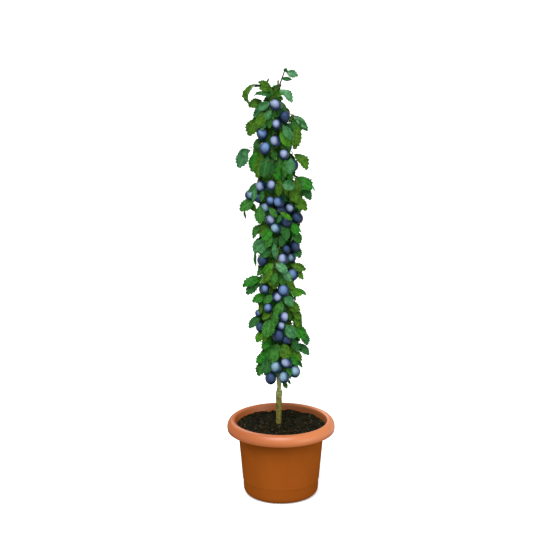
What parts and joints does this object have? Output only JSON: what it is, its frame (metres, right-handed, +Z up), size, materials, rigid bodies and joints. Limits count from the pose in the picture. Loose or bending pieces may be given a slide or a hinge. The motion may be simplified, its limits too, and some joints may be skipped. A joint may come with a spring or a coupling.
{
  "type": "potted fruit tree",
  "caption": "Columnar plum tree in a round flowerpot: a thin straight trunk dressed from low down to its tip with a narrow column of drooping leaves and blue plums.",
  "frame": {"origin": "on the pot's axis, on its flat underside", "axes": "+Z up along the tree, -Y towards the viewer in the picture, +X to the right"},
  "size_m": [0.3488, 0.3488, 1.3706],
  "materials": {
    "pot": "terracotta-coloured plastic with a soft satin sheen",
    "compost": "dark, damp and crumbly, with bark bits and fibres",
    "bark": "thin olive-brown bark, matt",
    "foliage": "green leaves with a faint waxy sheen, blue bloomed plums among them"
  },
  "bodies": {
    "root": {"pot": "pot", "compost": "compost", "trunk": "bark", "top_shoot": "bark", "arching_shoot": "bark", "foliage_1a": "foliage", "foliage_1b": "foliage", "foliage_1c": "foliage", "foliage_2a": "foliage", "foliage_2b": "foliage", "foliage_2c": "foliage", "foliage_3a": "foliage", "foliage_3b": "foliage", "foliage_3c": "foliage", "foliage_4a": "foliage", "foliage_4b": "foliage", "foliage_4c": "foliage", "foliage_5a": "foliage", "foliage_5b": "foliage", "foliage_5c": "foliage", "foliage_6a": "foliage", "foliage_6b": "foliage", "foliage_6c": "foliage", "foliage_7a": "foliage", "foliage_7b": "foliage", "foliage_7c": "foliage", "foliage_8a": "foliage", "foliage_8b": "foliage", "foliage_8c": "foliage", "foliage_top_left": "foliage", "foliage_top_right": "foliage"}
  },
  "joints": []
}
